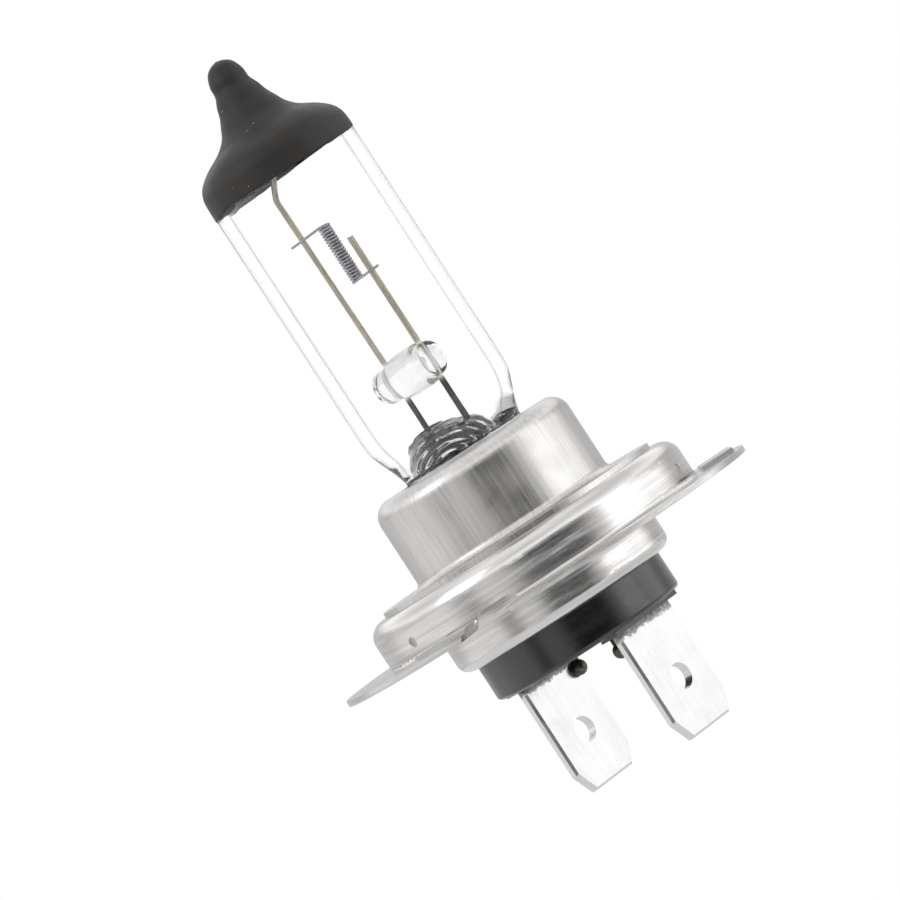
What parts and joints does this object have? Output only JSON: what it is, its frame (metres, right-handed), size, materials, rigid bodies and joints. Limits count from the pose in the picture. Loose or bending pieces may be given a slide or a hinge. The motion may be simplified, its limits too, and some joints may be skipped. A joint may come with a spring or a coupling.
{
  "type": "headlight bulb",
  "caption": "Halogen headlight bulb: quartz capsule with a dark-coated tip and an axial filament, steel collar and prefocus flange ring, black base with flat tab terminals.",
  "frame": {"origin": "on the lamp's axis in its reference plane, the plane of the raised lands on the flange plate's front side, where the locating ring starts", "axes": "+Z along the lamp's axis towards the glass tip; the two flat blades stand face to face along X and are as wide as they are along Y; the coding notch is towards -Y"},
  "size_m": [0.0339, 0.0338, 0.059],
  "materials": {
    "quartz_glass": "clear, polished",
    "tip_coating": "satin dark brown heat-proof coating",
    "tungsten": "fine drawn tungsten wire",
    "molybdenum": "drawn wire, slightly tanned by heat",
    "sealing_foil": "bright foil",
    "satin_steel": "satin, with streaks along the axis",
    "polished_steel": "polished pressed stainless steel",
    "clip_steel": "plain strip steel",
    "black_base": "glossy black moulding",
    "plated_blade": "bright tin plating",
    "weld_metal": "dark, heat-tinted weld"
  },
  "bodies": {
    "root": {"glass_envelope": "quartz_glass", "glass_bridge": "quartz_glass", "tip_coating": "tip_coating", "filament": "tungsten", "support_wire_long": "molybdenum", "support_wire_short": "molybdenum", "seal_foil_a": "sealing_foil", "seal_foil_b": "sealing_foil", "lead_wire_a": "molybdenum", "lead_wire_b": "molybdenum", "lead_weld_a": "weld_metal", "lead_weld_b": "weld_metal", "pinch_clip": "clip_steel", "collar": "satin_steel", "prefocus_ring": "polished_steel", "rear_shell": "polished_steel", "insulator": "black_base", "blade_a": "plated_blade", "blade_b": "plated_blade", "ring_spot_weld_1": "weld_metal", "ring_spot_weld_2": "weld_metal", "ring_spot_weld_3": "weld_metal"}
  },
  "joints": []
}
